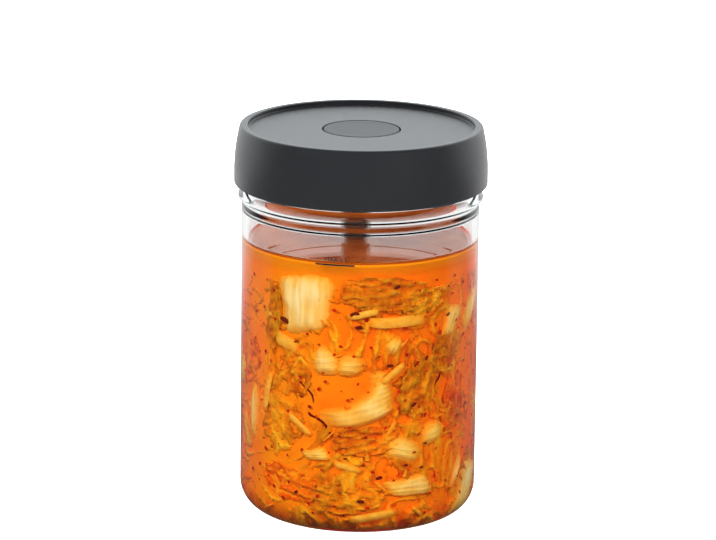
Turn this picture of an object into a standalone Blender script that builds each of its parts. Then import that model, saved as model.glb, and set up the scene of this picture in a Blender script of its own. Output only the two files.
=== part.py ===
"""A one-litre fermentation jar of clear glass, packed with kimchi cabbage.

The jar stands on z = 0 and its axis is the Z axis. The side with the fill line faces -Y.
A dark lid covers the threaded neck, a round vent sits flush in the lid, and the steel stem
of the presser hangs from the lid into the brine.
"""
import math
import random

import bmesh
import bpy
from mathutils import Vector

MM = 0.001

# Driving dimensions, in millimetres
JAR_RADIUS = 54.0
WALL = 3.0
BASE_THICKNESS = 3.2
BASE_CORNER = 12.5
BODY_TOP = 145.3
BEAD_RADIUS = 55.6
BEAD_ROUND = 1.0
BEAD_HEIGHT = 146.65
BEAD_CROWN = (52.6, 150.3)
NECK_RADIUS = 52.0
NECK_INNER_RADIUS = 48.0
NECK_INNER_FROM = 155.0
# Radius and height of the inner wall's shallow waves, from the neck down to the straight wall
INNER_WAVES = [(49.2, 148.0), (50.7, 143.8), (50.1, 140.9), (51.0, 139.5)]
MOUTH_HEIGHT = 173.2
GAP = 0.3

LID_BOTTOM = 151.9
LID_TOP = 179.0
LID_FOOT_RADIUS = 56.4
LID_RADIUS = 57.5
LID_CHAMFER = 1.1
LID_STRAIGHT_TO = 158.0
LID_BARREL_RADIUS = 85.0
RIM_OUTER_RADIUS = 54.5
RIM_INNER_RADIUS = 51.3
RIM_ROUND = 0.5
DISC_TOP = 177.0
VENT_SEAT_DEPTH = 2.0
VENT_RADIUS = 17.5

STEM_X = -2.0
COLLAR_RADIUS = 6.8
COLLAR_BOTTOM = 131.2
ROD_RADIUS = 5.35
ROD_BOTTOM = 122.0
EDGE_BEVEL = 0.4

HEAP_CLEARANCE = 0.5
HEAP_TOP = 117.0
HEAP_HIGHEST = 121.0
CORE_DEPTH = 3.4

JAR_SEGMENTS = 48
SMALL_SEGMENTS = 28
CORE_SEGMENTS = 28
INNER_RADIUS = JAR_RADIUS - WALL
HEAP_RADIUS = INNER_RADIUS - HEAP_CLEARANCE
INNER_CORNER = BASE_CORNER - WALL

# Pieces of cabbage that lie against the front of the glass: angle from the front towards +X and
# tilt in degrees, then height of the middle, length, width and thickness in millimetres
FRONT_RIBS = [
    (-30, 107, 82, 28, 26, 5.0),
    (-17, 81, 10, 13, 13, 4.5),
    (-4, 81, 0, 11, 10, 4.5),
    (53, 97, 60, 17, 12, 4.0),
    (18, 89, 70, 9, 7, 4.0),
    (-65, 51, 85, 29, 9, 4.0),
    (-22, 38, 5, 14, 7, 4.5),
    (24, 40, -15, 20, 10, 4.0),
    (41, 46, 10, 13, 9, 4.0),
    (28, 23, -2, 25, 11, 4.5),
    (60, 25, 65, 19, 6, 4.0),
]
FRONT_LEAVES = [
    (14, 113, -4, 40, 15),
    (49, 84, 70, 20, 15),
    (-39, 75, 80, 24, 24),
    (-48, 98, 85, 30, 9),
    (32, 68, 70, 26, 18),
    (-42, 48, 25, 26, 18),
    (4, 45, 5, 30, 13),
    (-38, 22, -10, 30, 15),
    (-5, 18, 0, 34, 14),
    (34, 108, 10, 22, 12),
    (56, 58, 80, 28, 14),
]
FRONT_STRIPS = [
    (20, 100, -3, 30, 5.0),
    (-39, 88, -28, 15, 6.0),
    (2, 104, 8, 16, 3.0),
    (-31, 51, -40, 16, 3.0),
    (-52, 62, 75, 22, 3.5),
    (17, 76, 35, 16, 3.0),
    (-5, 33, -20, 15, 3.0),
    (8, 10, 6, 24, 3.5),
]
CUP_ANGLE, CUP_HEIGHT, CUP_TILT = -5, 64, 12
CUP_LENGTH, CUP_WIDTH, CUP_DEPTH, CUP_THICKNESS = 42, 28, 5.0, 3.5
BACK_FROM, BACK_TO = 70, 290
BACK_RIBS, BACK_LEAVES, BACK_STRIPS = 15, 11, 11
TOP_LEAVES, TOP_STRIPS = 5, 6
FLAKES = 26
HEAP_FACES = 6000
GOLDEN_RATIO = (1 + math.sqrt(5)) / 2

GLASS = ("glass", (0.86, 0.90, 0.90), 0.03, 0.0)
LID_PLASTIC = ("lid_plastic", (0.030, 0.031, 0.034), 0.45, 0.0)
VENT_PLASTIC = ("vent_plastic", (0.036, 0.037, 0.040), 0.50, 0.0)
STEEL = ("steel", (0.62, 0.60, 0.57), 0.25, 1.0)
CABBAGE = ("cabbage", (0.90, 0.36, 0.04), 0.35, 0.0)


def finish(name, colour, roughness, metallic):
    material = bpy.data.materials.new(name)
    material.use_nodes = True
    shader = material.node_tree.nodes["Principled BSDF"]
    shader.inputs["Base Color"].default_value = (*colour, 1)
    shader.inputs["Roughness"].default_value = roughness
    shader.inputs["Metallic"].default_value = metallic
    return material


def add_object(name, shape, material):
    """Put a finished bmesh, still in millimetres, into the scene in metres."""
    bmesh.ops.recalc_face_normals(shape, faces=shape.faces)
    bmesh.ops.scale(shape, vec=(MM, MM, MM), verts=shape.verts)
    mesh = bpy.data.meshes.new(name)
    shape.to_mesh(mesh)
    shape.free()
    part = bpy.data.objects.new(name, mesh)
    bpy.context.collection.objects.link(part)
    if material:
        mesh.materials.append(material)
    return part


def arc(centre, radius, start, end, steps):
    """Points of an arc in the (radius, height) plane, its angles in degrees."""
    points = []
    for step in range(steps + 1):
        angle = math.radians(start + (end - start) * step / steps)
        points.append((centre[0] + radius * math.cos(angle), centre[1] + radius * math.sin(angle)))
    return points


def bridge(shape, rings):
    """Join each ring of vertices to the next; a ring of one vertex closes the shape on its axis."""
    around = max(len(ring) for ring in rings)
    for low, high in zip(rings, rings[1:]):
        for index in range(around):
            after = index + 1
            corners = [low[index % len(low)], low[after % len(low)]]
            corners += [high[after % len(high)], high[index % len(high)]]
            shape.faces.new(dict.fromkeys(corners))


def turned(name, profile, segments, material, axis_x=0.0):
    """Spin an outline of (radius, height) points, from one end on the axis to the other."""
    shape = bmesh.new()
    rings = []
    for radius, height in profile:
        if radius == 0:
            rings.append([shape.verts.new((axis_x, 0, height))])
            continue
        ring = []
        for segment in range(segments):
            angle = math.tau * (segment + 0.5) / segments
            place = (axis_x + radius * math.cos(angle), radius * math.sin(angle), height)
            ring.append(shape.verts.new(place))
        rings.append(ring)
    bridge(shape, rings)
    part = add_object(name, shape, material)
    part.data.shade_smooth()
    part.data.set_sharp_from_angle(angle=math.radians(30))
    return part


def ease(start, end, steps):
    """An S-shaped step from one (radius, height) point to another, upright at both ends."""
    points = []
    for step in range(1, steps + 1):
        share = step / steps
        bend = share * share * (3 - 2 * share)
        points.append((start[0] + (end[0] - start[0]) * bend, start[1] + (end[1] - start[1]) * share))
    return points


def jar_profile():
    corner_centre = (JAR_RADIUS - BASE_CORNER, BASE_CORNER)
    outside = [(0, 0)] + arc(corner_centre, BASE_CORNER, -90, 0, 7)
    outside += [(JAR_RADIUS, BODY_TOP)] + arc((BEAD_RADIUS - BEAD_ROUND, BEAD_HEIGHT), BEAD_ROUND, -80, 0, 4)
    for step in range(1, 5):
        share = step / 4
        radius = BEAD_RADIUS + (BEAD_CROWN[0] - BEAD_RADIUS) * share ** 1.7
        outside.append((radius, BEAD_HEIGHT + (BEAD_CROWN[1] - BEAD_HEIGHT) * share))
    outside += [(NECK_RADIUS, BEAD_CROWN[1] + GAP)]
    lip = (NECK_RADIUS - NECK_INNER_RADIUS) / 2
    mouth = arc((NECK_RADIUS - lip, MOUTH_HEIGHT - lip), lip, 0, 180, 4)
    inside = [(NECK_INNER_RADIUS, NECK_INNER_FROM)]
    for wave in INNER_WAVES:
        inside += ease(inside[-1], wave, 3)
    inner_centre = (INNER_RADIUS - INNER_CORNER, BASE_THICKNESS + INNER_CORNER)
    inside += arc(inner_centre, INNER_CORNER, 0, -90, 6) + [(0, BASE_THICKNESS)]
    return outside + mouth + inside


def lid_profile():
    ceiling = MOUTH_HEIGHT + GAP
    skirt_inner = NECK_RADIUS + GAP
    hollow = [(0, ceiling), (skirt_inner, ceiling), (skirt_inner, LID_BOTTOM)]
    outside = [(LID_FOOT_RADIUS, LID_BOTTOM), (LID_RADIUS, LID_BOTTOM + LID_CHAMFER)]
    barrel_steps = 5
    barrel_top = LID_TOP - 1
    for step in range(barrel_steps + 1):
        rise = (barrel_top - LID_STRAIGHT_TO) * step / barrel_steps
        outside.append((LID_RADIUS - rise ** 2 / (2 * LID_BARREL_RADIUS), LID_STRAIGHT_TO + rise))
    rim = [(RIM_OUTER_RADIUS, LID_TOP), (RIM_INNER_RADIUS + RIM_ROUND, LID_TOP)]
    rim += [(RIM_INNER_RADIUS, LID_TOP - RIM_ROUND), (RIM_INNER_RADIUS, DISC_TOP)]
    seat_radius = VENT_RADIUS + GAP
    seat_floor = DISC_TOP - VENT_SEAT_DEPTH
    seat = [(seat_radius, DISC_TOP), (seat_radius, seat_floor), (0, seat_floor)]
    return hollow + outside + rim + seat


def plug_profile(radius, bottom, top, edge):
    """A solid round bar or cap with a small bevel on its edges."""
    return [(0, bottom), (radius - edge, bottom), (radius, bottom + edge), (radius, top - edge),
            (radius - edge, top), (0, top)]


def heap_radius(height):
    """How far out the cabbage may reach at a height, inside the rounded bottom corner."""
    below = BASE_THICKNESS + INNER_CORNER - height
    if below <= 0:
        return HEAP_RADIUS
    reach = math.sqrt(max(INNER_CORNER ** 2 - min(below, INNER_CORNER) ** 2, 0))
    return HEAP_RADIUS - INNER_CORNER + reach


def on_wall(angle, height, tilt):
    """Where a piece's own length, width and depth go when it lies against the glass."""
    angle = math.radians(angle)
    turn_cos = math.cos(math.radians(tilt))
    turn_sin = math.sin(math.radians(tilt))

    def place(along, across, depth):
        sideways = along * turn_cos - across * turn_sin
        up = height + along * turn_sin + across * turn_cos
        up = min(max(up, BASE_THICKNESS + 2 * HEAP_CLEARANCE), HEAP_HIGHEST)
        radius = heap_radius(up) - depth
        turn = angle + sideways / HEAP_RADIUS
        return Vector((radius * math.sin(turn), -radius * math.cos(turn), up))

    return place


def on_top(distance, angle, height, turn):
    """The same for a piece that lies flat on top of the heap."""
    middle = Vector((math.cos(angle), math.sin(angle), 0)) * distance
    turn_cos = math.cos(turn)
    turn_sin = math.sin(turn)

    def place(along, across, depth):
        flat = Vector((along * turn_cos - across * turn_sin, along * turn_sin + across * turn_cos, 0))
        return middle + flat + Vector((0, 0, height - depth))

    return place


def slab(place, length, width, thickness, cells, outline, relief):
    """A closed piece whose two faces are split into triangles alike."""
    columns, rows = cells
    shape = bmesh.new()
    front = []
    back = []
    for column in range(columns + 1):
        share = column / columns
        for row in range(rows + 1):
            side = 2 * row / rows - 1
            along = (share - 0.5) * length
            across = side * outline(share) * width / 2
            depth = relief(share, side)
            front.append(shape.verts.new(place(along, across, depth)))
            back.append(shape.verts.new(place(along, across, depth + thickness)))
    for column in range(columns):
        for row in range(rows):
            first = column * (rows + 1) + row
            second = first + rows + 1
            for face in (front, back):
                shape.faces.new((face[first], face[second], face[second + 1]))
                shape.faces.new((face[first], face[second + 1], face[first + 1]))
    edge = [column * (rows + 1) for column in range(columns + 1)]
    edge += [columns * (rows + 1) + row for row in range(1, rows + 1)]
    edge += [column * (rows + 1) + rows for column in range(columns - 1, -1, -1)]
    edge += list(range(rows - 1, 0, -1))
    for this, after in zip(edge, edge[1:] + edge[:1]):
        shape.faces.new((front[this], back[this], back[after], front[after]))
    return shape


def rib(place, length, width, thickness):
    """A thick piece of white stem: crowned, with rounded corners."""

    def outline(share):
        return 1 - 0.38 * abs(2 * share - 1) ** 3

    def relief(share, side):
        return 1.3 * side ** 2 + 1.0 * (2 * share - 1) ** 4

    return slab(place, length, width, thickness, (3, 2), outline, relief)


def leaf(place, length, width, seed):
    """A thin crinkled leaf whose troughs reach down into the heap."""
    draw = random.Random(seed)
    phase = draw.uniform(0, math.tau)
    waves = draw.uniform(1.3, 1.9)

    def outline(share):
        return 0.55 + 0.45 * math.sin(math.pi * share) + 0.12 * math.sin(9 * share + phase)

    def relief(share, side):
        wave = math.sin(math.tau * waves * share + phase) * 0.7 + math.sin(3.2 * side + phase) * 0.3
        return 2.0 + 1.7 * wave

    return slab(place, length, width, 1.3, (6, 2), outline, relief)


def strip(place, length, width):
    """A shred of stem or spring onion with both ends tucked in."""

    def outline(share):
        return 1 - 0.3 * abs(2 * share - 1) ** 2

    def relief(share, side):
        return 0.3 + 3.0 * (2 * share - 1) ** 4

    return slab(place, length, width, 2.6, (4, 1), outline, relief)


def cup(place):
    """The curved root end of a leaf, hollow towards the glass."""

    def outline(share):
        return 1 - 0.45 * abs(2 * share - 1) ** 2.5

    def relief(share, side):
        return 0.4 + CUP_DEPTH * (1 - side ** 2) * (1 - (2 * share - 1) ** 2)

    return slab(place, CUP_LENGTH, CUP_WIDTH, CUP_THICKNESS, (6, 4), outline, relief)


def flake(place, size):
    """A chilli flake, seen as its outer face with the rest sunk in the cabbage."""
    thickness = CORE_DEPTH + 1
    return slab(place, size, size * 0.7, thickness, (1, 1), lambda share: 1.0, lambda share, side: 0.6)


def core():
    """The body of the heap: lumpy, set back from the glass, and hollowed behind the cup."""
    draw = random.Random(11)
    phases = [draw.uniform(0, math.tau) for _ in range(4)]
    base = BASE_THICKNESS + 2 * HEAP_CLEARANCE
    outline = [(0, base), (18, base), (36, base)]
    wall_heights = [base + 3, base + 7, base + 12]
    while wall_heights[-1] < HEAP_TOP - 10:
        wall_heights.append(wall_heights[-1] + 9)
    outline += [(heap_radius(height) - CORE_DEPTH, height) for height in wall_heights]
    outline += [(43, HEAP_TOP), (33, HEAP_TOP + 1), (20, HEAP_TOP), (9, HEAP_TOP + 1), (0, HEAP_TOP)]
    wall = range(3, 3 + len(wall_heights))
    shape = bmesh.new()
    rings = []
    for index, (radius, height) in enumerate(outline):
        if radius == 0:
            rings.append([shape.verts.new((0, 0, height))])
            continue
        ring = []
        for segment in range(CORE_SEGMENTS):
            turn = math.tau * segment / CORE_SEGMENTS
            lump = math.sin(5 * turn + phases[0] + height / 9) + math.sin(9 * turn + phases[1] - height / 6)
            bump = math.sin(3 * turn + phases[2]) + math.sin(7 * turn + phases[3] + radius / 8)
            out = radius
            up = height
            if index in wall:
                out += 0.5 * lump
                aside = math.remainder(turn - math.radians(CUP_ANGLE), math.tau) * HEAP_RADIUS
                beside = aside / (CUP_LENGTH / 3)
                above = (height - CUP_HEIGHT) / (CUP_WIDTH / 3)
                out -= CUP_DEPTH * math.exp(-beside ** 2 - above ** 2)
            elif height > base:
                up += 0.6 * bump
            ring.append(shape.verts.new((out * math.sin(turn), -out * math.cos(turn), up)))
        rings.append(ring)
    bridge(shape, rings)
    bmesh.ops.triangulate(shape, faces=shape.faces)
    return shape


def spread(count, draw):
    """Even places round the back of the wall, each a little off its own spot."""
    for index in range(count):
        turn = (index * GOLDEN_RATIO) % 1
        height = (index + 0.5) / count
        angle = BACK_FROM + (BACK_TO - BACK_FROM) * turn + draw.uniform(-4, 4)
        yield angle, 11 + (HEAP_TOP - 20) * height + draw.uniform(-3, 3)


def heap_pieces():
    """Every piece that shows on the outside of the heap, as closed shapes."""
    draw = random.Random(5)
    pieces = [cup(on_wall(CUP_ANGLE, CUP_HEIGHT, CUP_TILT))]
    for angle, height, tilt, length, width, thickness in FRONT_RIBS:
        pieces.append(rib(on_wall(angle, height, tilt), length, width, thickness))
    for index, (angle, height, tilt, length, width) in enumerate(FRONT_LEAVES):
        pieces.append(leaf(on_wall(angle, height, tilt), length, width, index))
    for angle, height, tilt, length, width in FRONT_STRIPS:
        pieces.append(strip(on_wall(angle, height, tilt), length, width))
    for angle, height in spread(BACK_RIBS, draw):
        place = on_wall(angle, height, draw.uniform(-90, 90))
        pieces.append(rib(place, draw.uniform(16, 29), draw.uniform(10, 24), 4.5))
    for angle, height in spread(BACK_LEAVES, draw):
        place = on_wall(angle + 9, height + 4, draw.uniform(-90, 90))
        pieces.append(leaf(place, draw.uniform(20, 36), draw.uniform(12, 22), angle))
    for angle, height in spread(BACK_STRIPS, draw):
        place = on_wall(angle + 18, height - 3, draw.uniform(-90, 90))
        pieces.append(strip(place, draw.uniform(14, 30), draw.uniform(3, 6)))
    for index in range(FLAKES):
        angle = 360 * ((index * GOLDEN_RATIO) % 1)
        height = 8 + (HEAP_TOP - 14) * (index + 0.5) / FLAKES
        pieces.append(flake(on_wall(angle, height, draw.uniform(0, 180)), draw.uniform(2.2, 4.2)))
    for index in range(TOP_LEAVES):
        angle = math.tau * index / TOP_LEAVES
        place = on_top(28, angle, HEAP_HIGHEST, angle + draw.uniform(1, 2))
        pieces.append(leaf(place, draw.uniform(22, 30), draw.uniform(12, 18), 50 + index))
    for index in range(TOP_STRIPS):
        angle = math.tau * (index + 0.4) / TOP_STRIPS
        place = on_top(32, angle, HEAP_HIGHEST - 0.5, angle + draw.uniform(1, 2))
        pieces.append(strip(place, draw.uniform(18, 26), draw.uniform(3, 5)))
    return pieces


def keep_largest_body(part):
    """Drop what the union left loose, and fill the hollows that it sealed."""
    shape = bmesh.new()
    shape.from_mesh(part.data)
    left = set(shape.verts)
    bodies = []
    while left:
        body = {left.pop()}
        border = list(body)
        while border:
            vertex = border.pop()
            for link in vertex.link_edges:
                other = link.other_vert(vertex)
                if other in left:
                    left.discard(other)
                    body.add(other)
                    border.append(other)
        bodies.append(body)
    bodies.sort(key=len)
    for body in bodies[:-1]:
        bmesh.ops.delete(shape, geom=list(body), context="VERTS")
    bmesh.ops.triangulate(shape, faces=shape.faces)
    shape.to_mesh(part.data)
    shape.free()


def make_heap(material):
    """Fuse the pieces to the core with one union."""
    part = add_object("kimchi", core(), material)
    group = bpy.data.collections.new("pieces")
    bpy.context.scene.collection.children.link(group)
    for index, shape in enumerate(heap_pieces()):
        piece = add_object(f"piece_{index}", shape, None)
        bpy.context.collection.objects.unlink(piece)
        group.objects.link(piece)
    union = part.modifiers.new("union", "BOOLEAN")
    union.operation = "UNION"
    union.operand_type = "COLLECTION"
    union.collection = group
    union.solver = "MANIFOLD"
    bpy.context.view_layer.objects.active = part
    bpy.ops.object.modifier_apply(modifier=union.name)
    for piece in list(group.objects):
        bpy.data.objects.remove(piece)
    bpy.data.collections.remove(group)
    keep_largest_body(part)
    thin = part.modifiers.new("thin", "DECIMATE")
    thin.ratio = HEAP_FACES / len(part.data.polygons)
    bpy.ops.object.modifier_apply(modifier=thin.name)


for existing in list(bpy.data.objects):
    bpy.data.objects.remove(existing)

turned("jar", jar_profile(), JAR_SEGMENTS, finish(*GLASS))
turned("lid", lid_profile(), JAR_SEGMENTS, finish(*LID_PLASTIC))
vent = plug_profile(VENT_RADIUS, DISC_TOP - VENT_SEAT_DEPTH + GAP, DISC_TOP, EDGE_BEVEL)
turned("vent", vent, 2 * SMALL_SEGMENTS, finish(*VENT_PLASTIC))
steel = finish(*STEEL)
collar = plug_profile(COLLAR_RADIUS, COLLAR_BOTTOM, MOUTH_HEIGHT, EDGE_BEVEL)
turned("stem_collar", collar, SMALL_SEGMENTS, steel, STEM_X)
rod = plug_profile(ROD_RADIUS, ROD_BOTTOM, COLLAR_BOTTOM - GAP, EDGE_BEVEL)
turned("stem_rod", rod, SMALL_SEGMENTS, steel, STEM_X)
make_heap(finish(*CABBAGE))
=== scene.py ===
# %% [markdown]
# # A jar of kimchi
# The real object is a one-litre fermentation jar: a clear glass cylinder, a dark screw lid with a
# round vent, a steel stem that presses the cabbage down, and the cabbage itself in orange brine.
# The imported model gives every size. We load it first and keep its outer box, because the pretty
# pieces may not outgrow it.

# %% Load the frame
import math
import random

import bpy
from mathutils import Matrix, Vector, noise


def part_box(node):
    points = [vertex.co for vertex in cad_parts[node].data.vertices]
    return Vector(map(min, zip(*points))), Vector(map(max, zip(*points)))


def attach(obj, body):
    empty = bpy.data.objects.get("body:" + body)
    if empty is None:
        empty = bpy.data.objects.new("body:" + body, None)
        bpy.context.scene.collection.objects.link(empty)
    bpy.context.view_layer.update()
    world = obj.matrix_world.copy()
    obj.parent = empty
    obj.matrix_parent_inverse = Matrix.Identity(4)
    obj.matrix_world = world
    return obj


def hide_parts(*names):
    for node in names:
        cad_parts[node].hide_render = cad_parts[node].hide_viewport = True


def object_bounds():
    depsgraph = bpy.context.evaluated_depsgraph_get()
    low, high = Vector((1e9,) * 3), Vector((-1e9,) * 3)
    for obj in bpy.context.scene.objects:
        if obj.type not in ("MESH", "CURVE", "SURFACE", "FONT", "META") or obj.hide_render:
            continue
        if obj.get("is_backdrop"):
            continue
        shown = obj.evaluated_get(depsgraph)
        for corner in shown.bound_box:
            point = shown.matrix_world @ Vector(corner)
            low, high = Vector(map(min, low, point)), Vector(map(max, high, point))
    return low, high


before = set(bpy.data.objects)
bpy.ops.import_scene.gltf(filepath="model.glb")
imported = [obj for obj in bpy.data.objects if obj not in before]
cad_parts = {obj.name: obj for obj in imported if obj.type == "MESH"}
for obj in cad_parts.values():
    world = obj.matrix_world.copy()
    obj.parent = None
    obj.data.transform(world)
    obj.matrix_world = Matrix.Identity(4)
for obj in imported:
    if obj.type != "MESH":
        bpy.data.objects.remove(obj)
cad_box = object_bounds()
print("CAD box", cad_box)

# %% [markdown]
# ## Working in millimetres
# A jar is easiest to think about in millimetres, while Blender's unit here is the metre. One factor
# does the change. The frame gives the height of the glass's mouth and of the heap of cabbage. The
# wall, the rounded base and the liquid's level are the jar's own facts.

# %% Sizes shared by several pieces
MM = 0.001


def top_of(node):
    """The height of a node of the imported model, in millimetres."""
    low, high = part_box(node)
    return high[2] / MM


JAR_RADIUS = 54.0
WALL = 3.0
BASE_THICKNESS = 3.2
BASE_CORNER = 12.5
INNER_RADIUS = JAR_RADIUS - WALL
INNER_CORNER = BASE_CORNER - WALL
MOUTH = top_of("jar")
BRINE_LEVEL = 127.3
HEAP_TOP = top_of("kimchi")
print(f"mouth of the glass {MOUTH:.1f} mm, top of the heap {HEAP_TOP:.1f} mm")

# %% [markdown]
# ## Small helpers for modelling with operators
# An operator works on everything that is selected, and loading the frame leaves its nodes selected.
# So each piece starts by selecting nothing, and a modifier is applied as soon as it has done its
# job. A finished piece sits at the origin with its place in its mesh.


# %% Selection, modifiers and settling
def select_only(piece=None):
    if bpy.context.mode != "OBJECT":
        bpy.ops.object.mode_set(mode="OBJECT")
    bpy.ops.object.select_all(action="DESELECT")
    if piece:
        piece.select_set(True)
        bpy.context.view_layer.objects.active = piece


def apply_modifier(piece, kind, **settings):
    select_only(piece)
    modifier = piece.modifiers.new(kind.lower(), kind)
    for key, value in settings.items():
        setattr(modifier, key, value)
    bpy.ops.object.modifier_apply(modifier=modifier.name)


def settle(piece, name):
    """Name a finished piece and move its place and size into its mesh."""
    select_only(piece)
    bpy.ops.object.transform_apply(location=True, rotation=True, scale=True)
    piece.name = name
    piece.data.name = name
    return piece


def smooth(piece, angle=35):
    select_only(piece)
    bpy.ops.object.shade_smooth_by_angle(angle=math.radians(angle))


def join(pieces, name):
    """Make one piece of many, and settle it."""
    select_only(pieces[0])
    for piece in pieces:
        piece.select_set(True)
    bpy.ops.object.join()
    return settle(bpy.context.object, name)


def store_tints(mesh, values):
    """Keep one number for each point of a mesh, which its material reads as the tint."""
    mesh.attributes.new("tint", "FLOAT", "POINT").data.foreach_set("value", values)


def report(piece):
    triangles = sum(len(face.vertices) - 2 for face in piece.data.polygons)
    print(f"{piece.name}: {triangles} triangles")


# %% [markdown]
# ## Turned shapes
# Glass jars, lids and caps are round, so each is an outline spun about the Z axis. By hand one
# starts from a single point, extrudes it along the outline and calls Spin. The helper does the
# same: a plane is merged to a point, the point is extruded from corner to corner, and the spun
# copies are merged where they meet on the axis.


# %% Outlines and spinning
def arc(centre, radius, start, end, steps):
    """Points of an arc in the (radius, height) plane, its angles in degrees."""
    angles = [math.radians(start + (end - start) * step / steps) for step in range(steps + 1)]
    return [(centre[0] + radius * math.cos(a), centre[1] + radius * math.sin(a)) for a in angles]


def ease(start, end, steps):
    """An S-shaped step from one (radius, height) point to another, upright at both ends."""
    points = []
    for step in range(steps + 1):
        share = step / steps
        bend = share * share * (3 - 2 * share)
        points.append((start[0] + (end[0] - start[0]) * bend, start[1] + (end[1] - start[1]) * share))
    return points


def held(outline, reach=0.5):
    """The outline with a point close to both ends of each long stretch, so that smooth shading
    stays at the corners and a long wall keeps its true direction."""
    points = [outline[0]]
    for before, after in zip(outline, outline[1:]):
        step = Vector(after) - Vector(before)
        if step.length > 4 * reach:
            points.append(tuple(Vector(before) + step.normalized() * reach))
            points.append(tuple(Vector(after) - step.normalized() * reach))
        points.append(after)
    return points


def turned(name, outline, steps=144, axis_x=0.0):
    outline = held(outline)
    select_only()
    bpy.ops.mesh.primitive_plane_add(size=1)
    piece = bpy.context.object
    bpy.ops.object.mode_set(mode="EDIT")
    bpy.ops.mesh.merge(type="CENTER")
    bpy.ops.transform.translate(value=(outline[0][0], 0, outline[0][1]))
    for before, after in zip(outline, outline[1:]):
        move = (after[0] - before[0], 0, after[1] - before[1])
        bpy.ops.mesh.extrude_region_move(TRANSFORM_OT_translate={"value": move})
    bpy.ops.mesh.select_all(action="SELECT")
    bpy.ops.mesh.spin(steps=steps, angle=math.tau, center=(0, 0, 0), axis=(0, 0, 1))
    bpy.ops.mesh.select_all(action="SELECT")
    bpy.ops.mesh.remove_doubles(threshold=0.002)
    bpy.ops.mesh.normals_make_consistent(inside=False)
    bpy.ops.object.mode_set(mode="OBJECT")
    piece.scale = (MM, MM, MM)
    piece.location = (axis_x * MM, 0, 0)
    settle(piece, name)
    smooth(piece)
    report(piece)
    return piece


# %% [markdown]
# ## Materials from nodes
# Every finish here is a small tree of nodes. These helpers add a node, fill its sockets and link
# it, so that each material below reads as a short recipe.


# %% Node helpers
def new_material(name):
    material = bpy.data.materials.new(name)
    material.use_nodes = True
    return material, material.node_tree, material.node_tree.nodes["Principled BSDF"]


def add_node(tree, kind, settings=None, **sockets):
    node = tree.nodes.new(kind)
    for key, value in (settings or {}).items():
        setattr(node, key, value)
    for key, value in sockets.items():
        socket = node.inputs[key.replace("_", " ")]
        if isinstance(value, bpy.types.NodeSocket):
            tree.links.new(value, socket)
        else:
            socket.default_value = value
    return node


def colour_ramp(tree, source, stops):
    ramp = tree.nodes.new("ShaderNodeValToRGB")
    tree.links.new(source, ramp.inputs["Fac"])
    elements = ramp.color_ramp.elements
    while len(elements) < len(stops):
        elements.new(0.5)
    for element, (place, colour) in zip(elements, stops):
        element.position = place
        element.color = (*colour, 1)
    return ramp.outputs["Color"]


def bump(tree, height, strength, distance):
    node = add_node(tree, "ShaderNodeBump", Height=height, Strength=strength, Distance=distance)
    return node.outputs["Normal"]


def object_noise(tree, scale, detail=3.0, stretch=None):
    """Noise on the piece's own coordinates in metres, optionally stretched along an axis."""
    place = add_node(tree, "ShaderNodeTexCoord").outputs["Object"]
    if stretch:
        place = add_node(tree, "ShaderNodeMapping", Vector=place, Scale=stretch).outputs["Vector"]
    return add_node(tree, "ShaderNodeTexNoise", Vector=place, Scale=scale, Detail=detail).outputs["Fac"]


# %% [markdown]
# ### Mixing colours and shaders
# Two colours are blended by a share, which is a number or another node's output. A shader can also
# be swapped for one kind of ray only, so that a lamp's light or a reflection meets something other
# than what the eye sees.


# %% Mixing helpers
def tint_value(tree):
    return add_node(tree, "ShaderNodeAttribute", {"attribute_name": "tint"}).outputs["Fac"]


def mixed(tree, share, first, second):
    node = tree.nodes.new("ShaderNodeMix")
    node.data_type = "RGBA"
    for socket, value in ((node.inputs[0], share), (node.inputs[6], first), (node.inputs[7], second)):
        if isinstance(value, bpy.types.NodeSocket):
            tree.links.new(value, socket)
        else:
            socket.default_value = value
    return node.outputs[2]


def multiplied(tree, share, first, second):
    """The first colour, darkened by the second as far as the share says."""
    colour = mixed(tree, share, first, second)
    colour.node.blend_type = "MULTIPLY"
    return colour


def swap_for_ray(tree, kind, shader, other):
    """Show the shader to every ray but one kind, such as shadow rays, which meet the other."""
    path = add_node(tree, "ShaderNodeLightPath")
    mix = tree.nodes.new("ShaderNodeMixShader")
    tree.links.new(path.outputs[kind], mix.inputs[0])
    tree.links.new(shader.outputs[0], mix.inputs[1])
    tree.links.new(other.outputs[0], mix.inputs[2])
    tree.links.new(mix.outputs[0], tree.nodes["Material Output"].inputs["Surface"])


# %% [markdown]
# ## The glass
# Clear soda-lime glass bends light by an index of about 1.5. Lamps would have to find their way
# through the curved wall by luck, so for shadow rays alone the glass turns transparent: the
# cabbage behind it is lit, and the eye still sees true refraction.


# %% Glass finish
def clear(name, ior, tint, shadow_tint):
    """A refracting material that lets lamp light pass straight through."""
    material, tree, shader = new_material(name)
    shader.inputs["Base Color"].default_value = tint
    shader.inputs["Roughness"].default_value = 0.0
    shader.inputs["IOR"].default_value = ior
    shader.inputs["Transmission Weight"].default_value = 1.0
    straight = add_node(tree, "ShaderNodeBsdfTransparent", Color=shadow_tint)
    swap_for_ray(tree, "Is Shadow Ray", shader, straight)
    return material


glass = clear("glass", 1.5, (0.99, 1.0, 0.995, 1), (0.97, 0.98, 0.975, 1))

# %% [markdown]
# ## The jar
# One outline makes the whole vessel: a flat base with a wide rounded corner, a straight body, the
# bead under the lid and the narrower neck. Inside, the blown wall runs in two shallow waves on its
# way to the neck. They are only a millimetre deep, yet they bend the view enough to draw the
# copper and dark bands that one sees under the lid.

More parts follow.
